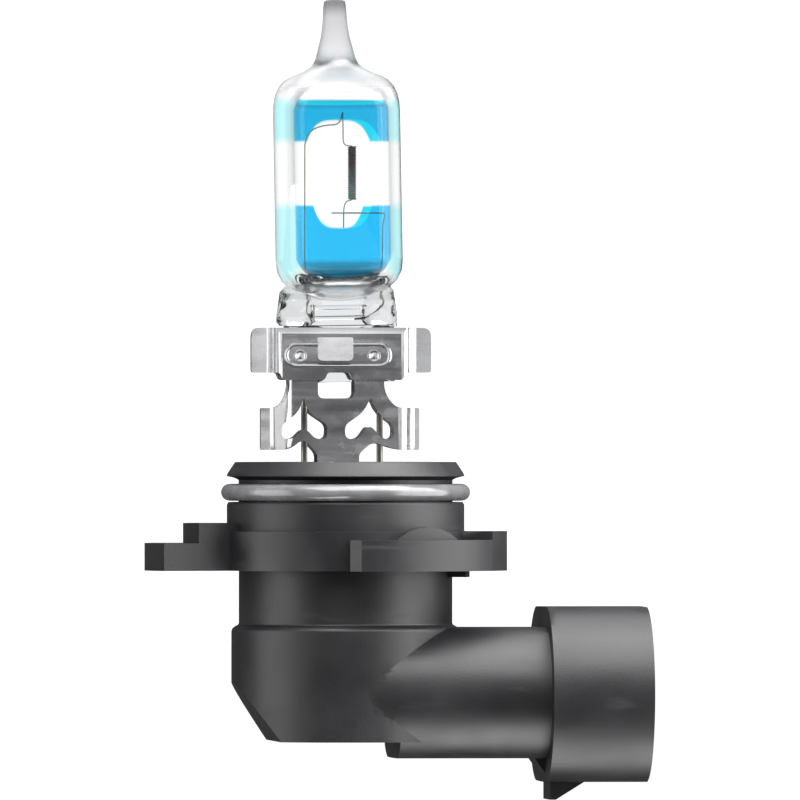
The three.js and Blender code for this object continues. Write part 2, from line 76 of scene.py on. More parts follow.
def rounded(corners, radius, steps=6):
    """A closed flat outline. A corner can carry its own radius as a third value."""
    flat = [Vector(corner[:2]) for corner in corners]
    path = []
    for i, corner in enumerate(corners):
        own = corner[2] if len(corner) > 2 else radius
        path += corner_curve(flat[i - 1], flat[i], flat[(i + 1) % len(flat)], own, steps)
    return path


def bent(points, radius, steps=6):
    """An open course, flat or in space, with each inner corner bent to a radius."""
    course = [Vector(point) for point in points]
    path = [course[0]]
    for before, corner, after in zip(course, course[1:], course[2:]):
        path += corner_curve(before, corner, after, radius, steps)
    return path + [course[-1]]


# %% Turned, pushed and drawn shapes
def clean(bm, distance=2e-6):
    """Merges doubled points and turns every face outwards."""
    bmesh.ops.remove_doubles(bm, verts=bm.verts, dist=distance)
    bmesh.ops.dissolve_degenerate(bm, edges=bm.edges, dist=distance / 4)
    bmesh.ops.recalc_face_normals(bm, faces=bm.faces)
    return bm


def turned(outline, steps=96, angle=2 * pi, start=0.0):
    """A [radius, z] outline spun round the lamp axis. A part turn gets its two end faces."""
    bm = bmesh.new()
    verts = [bm.verts.new((r * MM * cos(start), r * MM * sin(start), z * MM)) for r, z in outline]
    edges = [bm.edges.new(pair) for pair in zip(verts, verts[1:])]
    full = angle >= 2 * pi
    bmesh.ops.spin(bm, geom=verts + edges, cent=(0, 0, 0), axis=(0, 0, 1), angle=angle, steps=steps,
                   use_merge=full)
    if not full:
        bmesh.ops.remove_doubles(bm, verts=bm.verts, dist=1e-6)
        bmesh.ops.holes_fill(bm, edges=[e for e in bm.edges if e.is_boundary], sides=0)
    return clean(bm)


def prism(outline, direction):
    """A closed outline of points in millimetres, pushed along a direction, also in millimetres."""
    bm = bmesh.new()
    verts = [bm.verts.new(Vector(p) * MM) for p in outline]
    edges = [bm.edges.new(pair) for pair in zip(verts, verts[1:] + verts[:1])]
    bmesh.ops.edgeloop_fill(bm, edges=edges)
    side = bmesh.ops.extrude_face_region(bm, geom=list(bm.faces))["geom"]
    moved = [g for g in side if isinstance(g, bmesh.types.BMVert)]
    bmesh.ops.translate(bm, verts=moved, vec=Vector(direction) * MM)
    return clean(bm)


def from_front(outline, near, far):
    """An outline in x and z, pushed from one y to another."""
    return prism([(x, near, z) for x, z in outline], (0, far - near, 0))


def drawn_wire(path, radius, sides=12):
    """A round wire: each step extrudes the end disc and turns it to the new heading."""
    bm = bmesh.new()
    points = [Vector(p) for p in path]
    heading = (points[1] - points[0]).normalized()
    disc = bmesh.ops.create_circle(bm, cap_ends=True, radius=radius * MM, segments=sides)["verts"]
    first_turn = Vector((0, 0, 1)).rotation_difference(heading).to_matrix()
    bmesh.ops.rotate(bm, verts=disc, cent=(0, 0, 0), matrix=first_turn)
    bmesh.ops.translate(bm, verts=disc, vec=points[0] * MM)
    end = next(iter(bm.faces))
    for i in range(1, len(points)):
        grown = bmesh.ops.extrude_face_region(bm, geom=[end])["geom"]
        if i > 1:      # the first disc stays as the wire's end, and the inner ones go
            bmesh.ops.delete(bm, geom=[end], context="FACES_ONLY")
        end = next(g for g in grown if isinstance(g, bmesh.types.BMFace))
        rim = [g for g in grown if isinstance(g, bmesh.types.BMVert)]
        bmesh.ops.translate(bm, verts=rim, vec=(points[i] - points[i - 1]) * MM)
        new_heading = (points[min(i + 1, len(points) - 1)] - points[i - 1]).normalized()
        turn = heading.rotation_difference(new_heading).to_matrix()
        bmesh.ops.rotate(bm, verts=rim, cent=points[i] * MM, matrix=turn)
        heading = new_heading
    return clean(bm)


def block(x, y, z):
    """A plain rectangular cutter or bar between the given limits."""
    bm = bmesh.new()
    bmesh.ops.create_cube(bm, size=1.0)
    size = Vector((x[1] - x[0], y[1] - y[0], z[1] - z[0])) * MM
    bmesh.ops.scale(bm, vec=size, verts=bm.verts)
    centre = Vector((x[0] + x[1], y[0] + y[1], z[0] + z[1])) * MM / 2
    bmesh.ops.translate(bm, vec=centre, verts=bm.verts)
    return bm


# %% Joining, softening and finishing
def make_object(name, bm):
    mesh = bpy.data.meshes.new(name)
    bm.to_mesh(mesh)
    bm.free()
    made = bpy.data.objects.new(name, mesh)
    bpy.context.scene.collection.objects.link(made)
    return made


def freeze(piece):
    """Applies the piece's modifiers to its mesh."""
    depsgraph = bpy.context.evaluated_depsgraph_get()
    mesh = bpy.data.meshes.new_from_object(piece.evaluated_get(depsgraph))
    piece.modifiers.clear()
    piece.data = mesh
    return piece


def combine(base, bm, operation):
    """Welds, cuts or trims with a Boolean modifier and removes the tool."""
    tool = make_object("tool", bm)
    modifier = base.modifiers.new("combine", "BOOLEAN")
    modifier.operation = operation
    modifier.solver = "EXACT"
    modifier.object = tool
    freeze(base)
    bpy.data.objects.remove(tool)
    return base


def joined(base, bm):
    return combine(base, bm, "UNION")


def cut(base, bm):
    return combine(base, bm, "DIFFERENCE")


def trimmed(base, bm):
    return combine(base, bm, "INTERSECT")


def laid_on(piece, bm):
    """Adds a small closed body that is sunk a little way into the piece, as a weld or a bead is."""
    small = bpy.data.meshes.new("laid on")
    bm.to_mesh(small)
    bm.free()
    whole = bmesh.new()
    whole.from_mesh(piece.data)
    whole.from_mesh(small)
    whole.to_mesh(piece.data)
    whole.free()
    bpy.data.meshes.remove(small)
    return piece


def soften(piece, width, segments=2, angle=30):
    """Breaks the piece's sharp edges, as a mould or a deburring drum does."""
    modifier = piece.modifiers.new("broken edges", "BEVEL")
    modifier.width = width * MM
    modifier.segments = segments
    modifier.limit_method = "ANGLE"
    modifier.angle_limit = radians(angle)
    return freeze(piece)


def finished(piece, material, slot, *nodes, smooth=32):
    """Smooth shading up to an angle, a material, and the piece hung on the lamp's body with the parts it
    replaces hidden. The slot name is not used.
    """
    piece.data.materials.clear()
    piece.data.materials.append(material)
    piece.data.shade_smooth()
    piece.data.set_sharp_from_angle(angle=radians(smooth))
    even = piece.modifiers.new("even shading", "WEIGHTED_NORMAL")
    even.keep_sharp = True
    freeze(piece)
    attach(piece, BODY)
    if nodes:
        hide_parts(*nodes)
    print(piece.name, len(piece.data.polygons), "faces")
    return piece


def mirrored(piece, name):
    """The rear twin of a stamped front half, mirrored through the lamp's middle plane."""
    bm = bmesh.new()
    bm.from_mesh(piece.data)
    bmesh.ops.scale(bm, vec=(1, -1, 1), verts=bm.verts)
    bmesh.ops.recalc_face_normals(bm, faces=bm.faces)
    return make_object(name, bm)


# %% [markdown]
# ## Finishes
# Each finish is a small node tree on one Principled shader. The patterns read Object coordinates in
# metres, so a noise scale of 2000 has a grain of half a millimetre. Colour and roughness vary a
# little over every surface, because a perfectly even one looks like a drawing. A flat colour would be
# quicker and an image could hold more, but only a pattern made of nodes keeps its scale on any shape.

# %% Helpers for node trees
def new_finish(name):
    material = bpy.data.materials.new(name)
    material.use_nodes = True
    tree = material.node_tree
    shader = tree.nodes["Principled BSDF"]
    place = tree.nodes.new("ShaderNodeTexCoord")
    return material, tree, shader, place.outputs["Object"]


def noise(tree, vector, scale, detail=3.0, stretch=None):
    if stretch:
        mapping = tree.nodes.new("ShaderNodeMapping")
        mapping.inputs["Scale"].default_value = stretch
        tree.links.new(vector, mapping.inputs["Vector"])
        vector = mapping.outputs["Vector"]
    node = tree.nodes.new("ShaderNodeTexNoise")
    node.inputs["Scale"].default_value = scale
    node.inputs["Detail"].default_value = detail
    tree.links.new(vector, node.inputs["Vector"])
    return node.outputs["Fac"]


def ranged(tree, value, low, high, from_low=0.35, from_high=0.65):
    node = tree.nodes.new("ShaderNodeMapRange")
    node.inputs["From Min"].default_value = from_low
    node.inputs["From Max"].default_value = from_high
    node.inputs["To Min"].default_value = low
    node.inputs["To Max"].default_value = high
    tree.links.new(value, node.inputs["Value"])
    return node.outputs["Result"]


def blend_colours(tree, factor, first, second):
    """Mixes two colours, each given as numbers or as another node's output."""
    node = tree.nodes.new("ShaderNodeMix")
    node.data_type = "RGBA"
    for socket, value in (("A", first), ("B", second)):
        if isinstance(value, tuple):
            node.inputs[socket].default_value = (*value, 1)
        else:
            tree.links.new(value, node.inputs[socket])
    tree.links.new(factor, node.inputs["Factor"])
    return node.outputs["Result"]


def bump(tree, shader, height, strength, distance):
    node = tree.nodes.new("ShaderNodeBump")
    node.inputs["Strength"].default_value = strength
    node.inputs["Distance"].default_value = distance
    tree.links.new(height, node.inputs["Height"])
    tree.links.new(node.outputs["Normal"], shader.inputs["Normal"])


def math_node(tree, operation, first, second=None):
    node = tree.nodes.new("ShaderNodeMath")
    node.operation = operation
    for socket, value in zip(node.inputs, (first, second)):
        if value is None:
            continue
        if isinstance(value, (int, float)):
            socket.default_value = value
        else:
            tree.links.new(value, socket)
    return node.outputs["Value"]


def step(tree, value, edge, soft=0.12):
    """Rises from 0 to 1 where value, in millimetres, passes edge."""
    return ranged(tree, value, 0.0, 1.0, edge - soft, edge + soft)


def drop(tree, value, edge, soft=0.12):
    """Falls from 1 to 0 where value, in millimetres, passes edge."""
    return step(tree, math_node(tree, "SUBTRACT", edge, value), 0, soft)


# %% [markdown]
# ## Plastic, silicone and resin
# The base is moulded in black glass-filled nylon. It isn't quite black: the mould gives it a fine
# grain, the melt leaves it a little cloudy, and handling rubs pale streaks into it. The seal ring is
# smooth silicone with a thin gloss, so it gets a coat over a soft body. The potting is poured resin.

# %% Moulded plastic, silicone and resin
def moulded_plastic():
    """Black nylon: a fine moulded grain, slightly cloudy, with pale rubbed streaks here and there."""
    material, tree, shader, place = new_finish("satin_black_nylon")
    cloud = noise(tree, place, 180.0)
    grain = noise(tree, place, 5200.0, 2.0)
    scuffs = ranged(tree, noise(tree, place, 420.0, 5.0, (0.35, 0.35, 2.6)), 0, 1, 0.62, 0.74)
    body = blend_colours(tree, ranged(tree, cloud, 0, 1), (0.0085, 0.0082, 0.0095), (0.0135, 0.013, 0.0145))
    colour = blend_colours(tree, math_node(tree, "MULTIPLY", scuffs, 0.5), body, (0.028, 0.028, 0.03))
    tree.links.new(colour, shader.inputs["Base Color"])
    rough = math_node(tree, "ADD", ranged(tree, cloud, 0.41, 0.5), math_node(tree, "MULTIPLY", scuffs, 0.1))
    tree.links.new(rough, shader.inputs["Roughness"])
    bump(tree, shader, grain, 0.35, 0.00003)
    return material


def grey_silicone():
    """Seal ring rubber: a soft grey body under a thin even gloss."""
    material, tree, shader, place = new_finish("grey_silicone")
    cloud = noise(tree, place, 400.0)
    colour = blend_colours(tree, ranged(tree, cloud, 0, 1), (0.115, 0.115, 0.12), (0.165, 0.165, 0.17))
    tree.links.new(colour, shader.inputs["Base Color"])
    tree.links.new(ranged(tree, cloud, 0.2, 0.28), shader.inputs["Roughness"])
    shader.inputs["Coat Weight"].default_value = 0.7
    shader.inputs["Coat Roughness"].default_value = 0.18
    bump(tree, shader, noise(tree, place, 3000.0), 0.15, 0.00002)
    return material


def sealing_resin():
    """Poured brown resin, a little wavy where it set."""
    material, tree, shader, place = new_finish("sealing_resin")
    cloud = noise(tree, place, 300.0)
    colour = blend_colours(tree, ranged(tree, cloud, 0, 1), (0.09, 0.055, 0.035), (0.14, 0.09, 0.06))
    tree.links.new(colour, shader.inputs["Base Color"])
    tree.links.new(ranged(tree, cloud, 0.35, 0.55), shader.inputs["Roughness"])
    bump(tree, shader, cloud, 0.3, 0.0001)
    return material


# %% [markdown]
# ## Metals
# Strip, blade and wire differ in colour and in how they were drawn or rolled, so one recipe makes
# them all. Rolling leaves fine lines along the metal: a noise stretched along one axis drives both
# the polish and a very low bump. Cloudy smudges dull it in places, as fingers and heat do. The
# filament is a case of its own, because it has been hot and has changed colour along its length.

# %% Metals
def metal(name, dark, light, rough, stretch, bump_height=0.000006):
    """A drawn or rolled metal: its fine lines run along the axis that is stretched least."""
    material, tree, shader, place = new_finish(name)
    lines = noise(tree, place, 900.0, 4.0, stretch)
    cloud = noise(tree, place, 260.0)
    smudge = ranged(tree, noise(tree, place, 700.0, 4.0), 0, 0.35, 0.52, 0.7)
    clear = blend_colours(tree, ranged(tree, cloud, 0, 1), dark, light)
    tree.links.new(blend_colours(tree, smudge, clear, dark), shader.inputs["Base Color"])
    polish = ranged(tree, lines, rough[0], rough[1])
    tree.links.new(math_node(tree, "ADD", polish, math_node(tree, "MULTIPLY", smudge, 0.2)),
                   shader.inputs["Roughness"])
    shader.inputs["Metallic"].default_value = 1.0
    bump(tree, shader, lines, 0.4, bump_height)
    return material


PLASTIC = moulded_plastic()
SILICONE = grey_silicone()
RESIN = sealing_resin()
ALONG_X, ALONG_Z = (0.1, 1, 1), (1, 1, 0.1)
STEEL = metal("satin_steel_strip", (0.58, 0.58, 0.59), (0.74, 0.74, 0.75), (0.16, 0.28), ALONG_X)
BRASS = metal("tinned_brass", (0.52, 0.42, 0.22), (0.66, 0.55, 0.32), (0.2, 0.34), ALONG_X)
NICKEL = metal("nickel_wire", (0.26, 0.25, 0.23), (0.42, 0.40, 0.37), (0.25, 0.4), ALONG_Z)
FINE_NICKEL = metal("fine_lead_wire", (0.36, 0.31, 0.25), (0.52, 0.46, 0.38), (0.3, 0.45), ALONG_Z)
MOLYBDENUM = metal("molybdenum_foil", (0.3, 0.28, 0.26), (0.4, 0.38, 0.36), (0.25, 0.4), ALONG_Z)


def tungsten():
    """Coil metal that has been hot: its colour runs from dark green-grey over brown to pale grey."""
    material, tree, shader, place = new_finish("tungsten_coil")
    split = tree.nodes.new("ShaderNodeSeparateXYZ")
    tree.links.new(place, split.inputs["Vector"])
    height = math_node(tree, "MULTIPLY", split.outputs["Z"], 1 / MM)
    colour = blend_colours(tree, step(tree, height, 32.4, 0.5), (0.36, 0.39, 0.34), (0.20, 0.195, 0.20))
    for rise, soft, hotter in ((33.8, 0.4, (0.13, 0.065, 0.05)), (34.9, 0.4, (0.035, 0.05, 0.04))):
        colour = blend_colours(tree, step(tree, height, rise, soft), colour, hotter)
    tree.links.new(colour, shader.inputs["Base Color"])
    grain = noise(tree, place, 6000.0)
    tree.links.new(ranged(tree, grain, 0.4, 0.6), shader.inputs["Roughness"])
    shader.inputs["Metallic"].default_value = 0.6
    bump(tree, shader, grain, 0.3, 0.00001)
    return material


TUNGSTEN = tungsten()
print("finishes:", sorted(material.name for material in bpy.data.materials))

# %% [markdown]
# ## The moulded base
# Collar, flange, neck and elbow are all round, so one outline spun about the lamp axis makes them,
# and a slanting cut takes the heel off the elbow. The connector arm and its shroud are flat-sided
# ovals, made from a circle whose two halves are moved apart. The lugs are the same outline turned
# through part of a circle only. A Boolean joins them, which leaves the true curved line where the
# wide arm runs into the round elbow. The round parts get rings and the ovals get stations along
# their length, because a long thin face next to such a line would spoil the smooth shading.

# %% Driving sizes of the base, read from the frame
base_low, base_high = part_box("base_body")
COLLAR_TOP = base_high[2] / MM
MOUTH_X = base_high[0] / MM
LONG_LUG = -base_low[0] / MM
COLLAR_R, LIP_R = 11.1, 11.13
GROOVE_R, GROOVE_BOTTOM, GROOVE_TOP = 10.0, 2.71, 4.77
NECK_R = 9.98
ELBOW_R = 10.68
ELBOW_BOTTOM = -19.63
ELBOW_RINGS = (ELBOW_BOTTOM, -18.5, -17.4, -16.3, -15.2, -14.1, -13.0, -11.9, -10.8, -9.35)
FLANGE_R, FLANGE_BOTTOM = 12.0, -3.69
CHAMBER_R, CHAMBER_FLOOR = 8.3, -12.6
ARM_Z, ARM_HALF, OVAL_FLAT = -15.1, 6.12, 4.48
SHROUD_Z, SHROUD_HALF, SHROUD_BACK, SHROUD_WALL = -15.25, 8.2, 18.39, 1.7
SOCKET_FLOOR = 19.6
LUG_R = 15.1
print("collar top", round(COLLAR_TOP, 2), "mouth", round(MOUTH_X, 2), "long lug", round(LONG_LUG, 2))


# %% The round part
def base_outline():
    """The half outline of everything that is round on the base, from the elbow's foot to the lip."""
    return [
        [0, ELBOW_BOTTOM], *[[ELBOW_R, z] for z in ELBOW_RINGS], [ELBOW_R - 0.08, -9.12],
        [ELBOW_R - 0.3, -8.92], [NECK_R + 0.08, -8.75], [NECK_R, -8.6], [NECK_R, FLANGE_BOTTOM],
        [FLANGE_R, FLANGE_BOTTOM],
        [FLANGE_R, -0.02], [COLLAR_R, 0.0], [COLLAR_R, GROOVE_BOTTOM - 0.26],
        [COLLAR_R - 0.15, GROOVE_BOTTOM], [GROOVE_R, GROOVE_BOTTOM], [GROOVE_R, GROOVE_TOP],
        [GROOVE_R + 0.35, 4.95], [LIP_R, 5.14], [LIP_R - 0.13, 5.45], [10.33, COLLAR_TOP], [0, COLLAR_TOP],
    ]


def oval(half, centre_z, start, end, steps=64):
    """A flat-sided oval bar along x, from a circle whose halves are moved apart."""
    bm = bmesh.new()
    made = bmesh.ops.create_circle(bm, cap_ends=True, radius=half * MM, segments=steps)
    bmesh.ops.rotate(bm, verts=made["verts"], matrix=Matrix.Rotation(pi / 2, 3, "Y"))
    for side in (-1, 1):
        half_ring = [v for v in bm.verts if v.co.y * side > 1e-7]
        bmesh.ops.translate(bm, verts=half_ring, vec=(0, side * OVAL_FLAT * MM, 0))
    bmesh.ops.translate(bm, verts=bm.verts, vec=(start * MM, 0, centre_z * MM))
    side_geometry = bmesh.ops.extrude_face_region(bm, geom=list(bm.faces))["geom"]
    moved = [g for g in side_geometry if isinstance(g, bmesh.types.BMVert)]
    bmesh.ops.translate(bm, verts=moved, vec=((end - start) * MM, 0, 0))
    for x in range(int(start) + 1, int(end)):
        everything = list(bm.verts) + list(bm.edges) + list(bm.faces)
        bmesh.ops.bisect_plane(bm, geom=everything, plane_co=(x * MM, 0, 0), plane_no=(1, 0, 0))
    return clean(bm)


HEEL = [(-12.0, -21.5), (-5.4, -21.5), (-12.0, -12.2)]
ARM_START = 4.4
base = make_object("base_housing", turned(base_outline(), 128))
cut(base, from_front(HEEL, -12, 12))
joined(base, oval(ARM_HALF, ARM_Z, 0.0, SHROUD_BACK + 0.4))
cut(base, block((-1, ARM_START), (-12, 12), (-22, ELBOW_BOTTOM)))
joined(base, oval(SHROUD_HALF, SHROUD_Z, SHROUD_BACK, MOUTH_X))
print("round body and arm:", len(base.data.polygons), "faces")


# %% Lugs, hump, ledge and lock ramp
def lug(inner, outer, bottom, top, start, end, steps=14):
    """A piece of a flat ring between two angles in degrees, which is what a bayonet lug is."""
    outline = [[inner, bottom], [outer, bottom], [outer, top], [inner, top], [inner, bottom]]
    return turned(outline, steps, radians(end - start), radians(start))


def mesh_of(piece):
    """Takes a finished shape back out of its object, so that it can be joined to another."""
    bm = bmesh.new()
    bm.from_mesh(piece.data)
    bpy.data.objects.remove(piece)
    return bm


LUG_ROOT = 10.7
LONG_LUG_STEP = 15.2
FRONT_LUG, FRONT_LUG_RAISED, REAR_LUG, LONG_LUG_ARC = (-93.3, -4), (-30, -4), (42, 78), (159, 201)
for reach, top, arc, steps in ((LONG_LUG, -1.12, LONG_LUG_ARC, 14), (LONG_LUG_STEP, 0.75, LONG_LUG_ARC, 14),
                               (LUG_R, -0.8, FRONT_LUG, 24), (LUG_R, 0.0, FRONT_LUG_RAISED, 14),
                               (LUG_R, 0.0, REAR_LUG, 14)):
    joined(base, lug(LUG_ROOT, reach, FLANGE_BOTTOM, top, *arc, steps))
LEDGE_ROOT, LEDGE_R, LEDGE_BOTTOM = 9.6, 11.6, -4.3
joined(base, lug(LEDGE_ROOT, LEDGE_R, LEDGE_BOTTOM, -3.0, -20, 20))
NOSE_CHAMFER = [(-0.95, -14.15, -6), (0.17, -15.1, -6), (0.17, -16, -6), (-2, -16, -6), (-2, -14.15, -6)]
cut(base, prism(NOSE_CHAMFER, (0, 0, 6.5)))
HUMP_X, HUMP_Z, HUMP_R = 6.7, -4.0, 4.4
hump = [(HUMP_X + HUMP_R * cos(radians(a)), HUMP_Z + HUMP_R * sin(radians(a))) for a in range(160, 19, -10)]
humped = make_object("hump", from_front(hump, -15, -6))
trimmed(humped, lug(LUG_ROOT, 13.4, -2.5, 1.0, -80, -20, 20))
joined(base, mesh_of(humped))
LOCK_RAMP = [(17.2, -20.9), (18.9, -23.3), (18.9, -25.1), (19.4, -25.1), (22.3, -23.3), (22.3, -20.9)]
joined(base, from_front(LOCK_RAMP, -3.4, 3.4))

# %% Chamber, socket and the slots of the blades
BLADE_PITCH, BLADE_W, BLADE_T, BLADE_PLAY = 8.0, 2.8, 0.8, 0.15
cut(base, turned([[0, CHAMBER_FLOOR], [CHAMBER_R, CHAMBER_FLOOR], [CHAMBER_R, 8], [0, 8]], 96))
cut(base, oval(SHROUD_HALF - SHROUD_WALL, SHROUD_Z, SOCKET_FLOOR, MOUTH_X + 1))
for side in (-1, 1):
    y = side * BLADE_PITCH / 2
    width = (y - BLADE_W / 2 - BLADE_PLAY, y + BLADE_W / 2 + BLADE_PLAY)
    cut(base, block((-5.3, SOCKET_FLOOR + 0.5), width, (SHROUD_Z - 0.7, SHROUD_Z + 0.7)))
    cut(base, block((-5.3, -4.0), width, (SHROUD_Z - 0.7, CHAMBER_FLOOR + 0.5)))
# The Booleans leave a few very short edges, which hold this bevel back to next to nothing.
soften(base, 0.16)
finished(base, PLASTIC, "base_plastic", "base_body")

# %% [markdown]
# ## Seal ring
# The ring is a plain torus of silicone, stretched into its groove. A circle spun about the lamp
# axis gives it, with enough steps that its bright edge stays smooth.

# %% Seal ring
ring_low, ring_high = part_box("sealing_ring")
RING_R = (ring_high[2] - ring_low[2]) / 2 / MM
RING_Z = (ring_high[2] + ring_low[2]) / 2 / MM
RING_CENTRE = ring_high[0] / MM - RING_R
ring_section = [[RING_CENTRE + RING_R * cos(radians(a)), RING_Z + RING_R * sin(radians(a))]
                for a in range(0, 361, 15)]
ring = make_object("seal_ring", turned(ring_section, 128))
finished(ring, SILICONE, "ring_silicone", "sealing_ring", smooth=60)

# %% [markdown]
# ## Disc, resin and terminals
# A thin disc closes the collar and holds the two stems of the carrier in slots. Under it the chamber
# is filled with brown resin, whose surface creeps up a little at the wall. Two stamped blades run
# from the chamber to the socket; each has a tab bent up at the back, to which a lead is welded.

# %% Disc and resin
SHEET = 0.4
STEM = (-2.8, 1.1)
LEAD_X = (-3.88, 3.2)
FRAME_Y = 1.88
DISC_R, DISC_BOTTOM, DISC_TOP = 8.0, 4.9, COLLAR_TOP - 0.05
disc = make_object("retainer_plate", turned([[0, DISC_BOTTOM], [DISC_R, DISC_BOTTOM], [DISC_R, 6.2],
                                             [DISC_R - 0.2, DISC_TOP], [0, DISC_TOP]], 96))
for side in (-1, 1):
    near = side * FRAME_Y - SHEET / 2 - 0.25
    cut(disc, block((STEM[0] - 0.3, STEM[1] + 0.3), (near, near + SHEET + 0.5), (4, 7)))
for x in LEAD_X:
    hole = turned([[0, 4], [0.7, 4], [0.7, 7], [0, 7]], 24)
    bmesh.ops.translate(hole, verts=hole.verts, vec=(x * MM, 0, 0))
    cut(disc, hole)
soften(disc, 0.08)
finished(disc, PLASTIC, "disc_plastic", "retainer_disc")

RESIN_BOTTOM, RESIN_TOP = -3.0, 4.05
resin = make_object("resin_fill", turned([
    [0, RESIN_BOTTOM], [DISC_R, RESIN_BOTTOM], [DISC_R, 4.4], [7.7, 4.25], [7.2, 4.12], [6.0, RESIN_TOP],
    [0, RESIN_TOP]], 96))
finished(resin, RESIN, "potting_resin", "potting_plug")

# %% Terminal blades
def terminal(name, side, node):
    """A stamped blade with a tapered nose and its tab bent up at the back."""
    bottom, top = SHROUD_Z - BLADE_T / 2, SHROUD_Z + BLADE_T / 2
    back, tip = -5.0, 26.2
    course = [(back, bottom), (tip - 1.2, bottom), (tip, bottom + 0.25), (tip, top - 0.25), (tip - 1.2, top),
              (back + BLADE_T, top), (back + BLADE_T, -4.4), (back, -4.4)]
    y = side * BLADE_PITCH / 2
    piece = make_object(name, from_front(course, y - BLADE_W / 2, y + BLADE_W / 2))
    for edge in (-1, 1):
        corner = y + edge * BLADE_W / 2
        nib = prism([(tip + 0.1, corner + edge * 0.1, -20), (tip + 0.1, corner - edge * 0.45, -20),
                     (tip - 0.9, corner + edge * 0.1, -20)], (0, 0, 9))
        cut(piece, nib)
    soften(piece, 0.08)
    return finished(piece, BRASS, "terminal_brass", node)


terminal("blade_front", -1, "terminal_front")
terminal("blade_rear", 1, "terminal_rear")


# %% [markdown]
# ## Leads and foils
# The current comes up two stiff outer leads. Inside the pinched glass a thin molybdenum foil takes
# it over, and two fine inner leads carry it on: the long one arches over the filament, and the short
# one crosses below it. A wire is drawn, so each is a round section pulled along a bent course.

# %% Outer leads
WELD = (-3.8, 3.4, -5.2)


def outer_lead(name, x, side, node):
    """A stiff wire from the pinch down through the disc to its weld on a blade's tab."""
    weld_x, weld_y, weld_z = WELD
    course = [(x, 0, 17.2), (x, 0, -2.8), (x * 0.4 + weld_x * 0.6, side * weld_y * 0.6, -4.1),
              (weld_x, side * weld_y, weld_z), (weld_x, side * weld_y, -7.4)]
    piece = make_object(name, drawn_wire(bent(course, 1.0), 0.3, 16))
    return finished(piece, NICKEL, "lead_nickel", node, smooth=60)


outer_lead("supply_lead_left", LEAD_X[0], -1, "outer_lead_left")
outer_lead("supply_lead_right", LEAD_X[1], 1, "outer_lead_right")

# %% Inner leads and foils
FINE, TAIL = 0.07, 0.06
long_course = [(-2.9, 0, 19.6), (-3.7, 0, 19.55), (-3.95, 0, 20.6), (-3.95, 0, 36.4), (-3.35, 0, 37.5),
               (-2.2, 0, 37.9), (-0.7, 0, 38.0), (-0.42, 0, 39.1)]
long_lead = make_object("arched_lead", drawn_wire(bent(long_course, 0.6), FINE))
upper_tail = [(-0.4, 0, 39.15), (-0.36, 0, 36.4), (-0.2, 0, 36.05), (0.5, 0, 35.95)]
joined(long_lead, drawn_wire(bent(upper_tail, 0.3), TAIL))
finished(long_lead, FINE_NICKEL, "lead_nickel", "inner_lead_long", smooth=60)
CROSS_Z = 29.7
short_course = [(0.8, 0, 20.0), (2.7, 0, 20.0), (3.25, 0, 20.8), (3.45, 0, 28.9), (3.7, 0, CROSS_Z),
                (-1.45, 0, CROSS_Z)]
short_lead = make_object("cross_lead", drawn_wire(bent(short_course, 0.5), FINE))
lower_tail = [(0.5, 0, 30.95), (-0.1, 0, 30.8), (-0.3, 0, 30.2), (-0.33, 0, 28.3)]
joined(short_lead, drawn_wire(bent(lower_tail, 0.3), TAIL))
finished(short_lead, FINE_NICKEL, "lead_nickel", "inner_lead_short", smooth=60)


FOIL_LOW, FOIL_HIGH, FOIL_FRONT, FOIL_T = 15.2, 18.8, -0.43, 0.1


def foil(name, x, node):
    """The thin strip that seals the current's way into the glass."""
    outline = rounded([(x - 1, FOIL_LOW), (x + 1, FOIL_LOW), (x + 1, FOIL_HIGH), (x - 1, FOIL_HIGH)], 0.3)
    piece = make_object(name, from_front(outline, FOIL_FRONT, FOIL_FRONT + FOIL_T))
    return finished(piece, MOLYBDENUM, "foil_molybdenum", node)


foil("seal_foil_left", LEAD_X[0], "foil_left")
foil("seal_foil_right", LEAD_X[1], "foil_right")

# %% [markdown]
# ## The filament
# The coil is wound so closely that it reads as a bar. A small circle is screwed about the coil's own
# upright axis: a spin with a rise at every step is exactly what a winding machine does. It has run
# hot, so its colour changes along its length.

# %% Filament coil
COIL_X, COIL_LOW, COIL_HIGH = 0.47, 31.0, 35.9
COIL_R, COIL_WIRE, COIL_TURNS, TURN_STEPS = 0.33, 0.085, 24, 24
coil = bmesh.new()
section = bmesh.ops.create_circle(coil, cap_ends=True, radius=COIL_WIRE * MM, segments=8)["verts"]
bmesh.ops.rotate(coil, verts=section, matrix=Matrix.Rotation(pi / 2, 3, "X"))
bmesh.ops.translate(coil, verts=section, vec=Vector((COIL_X + COIL_R, 0, COIL_LOW)) * MM)
coil_steps = COIL_TURNS * TURN_STEPS
rise = (COIL_HIGH - COIL_LOW) * MM / coil_steps
bmesh.ops.spin(coil, geom=list(coil.faces), cent=(COIL_X * MM, 0, 0), axis=(0, 0, 1), dvec=(0, 0, rise),
               angle=2 * pi * COIL_TURNS, steps=coil_steps)
clean(coil, 5e-7)
filament = make_object("wound_filament", coil)
finished(filament, TUNGSTEN, "filament_tungsten", "filament_coil", smooth=60)

# %% [markdown]
# ## Sheet-metal carrier and clip
# Both are stamped from steel strip in mirrored halves that are spot-welded face to face. Seen from
# above, a half is a bent strip: two wings near the lamp's middle plane and a plate that stands off
# to clear the glass. So the strip is bent first, then trimmed to the outline seen from the front,
# as the stamping tool does, and the openings are punched. The wings are not quite flat: they lean
# back a little, so they catch the light that the plate does not. The bead, the welds and the tongue
# are laid on as closed bodies sunk into the plate, which keeps the plate itself one clean face.

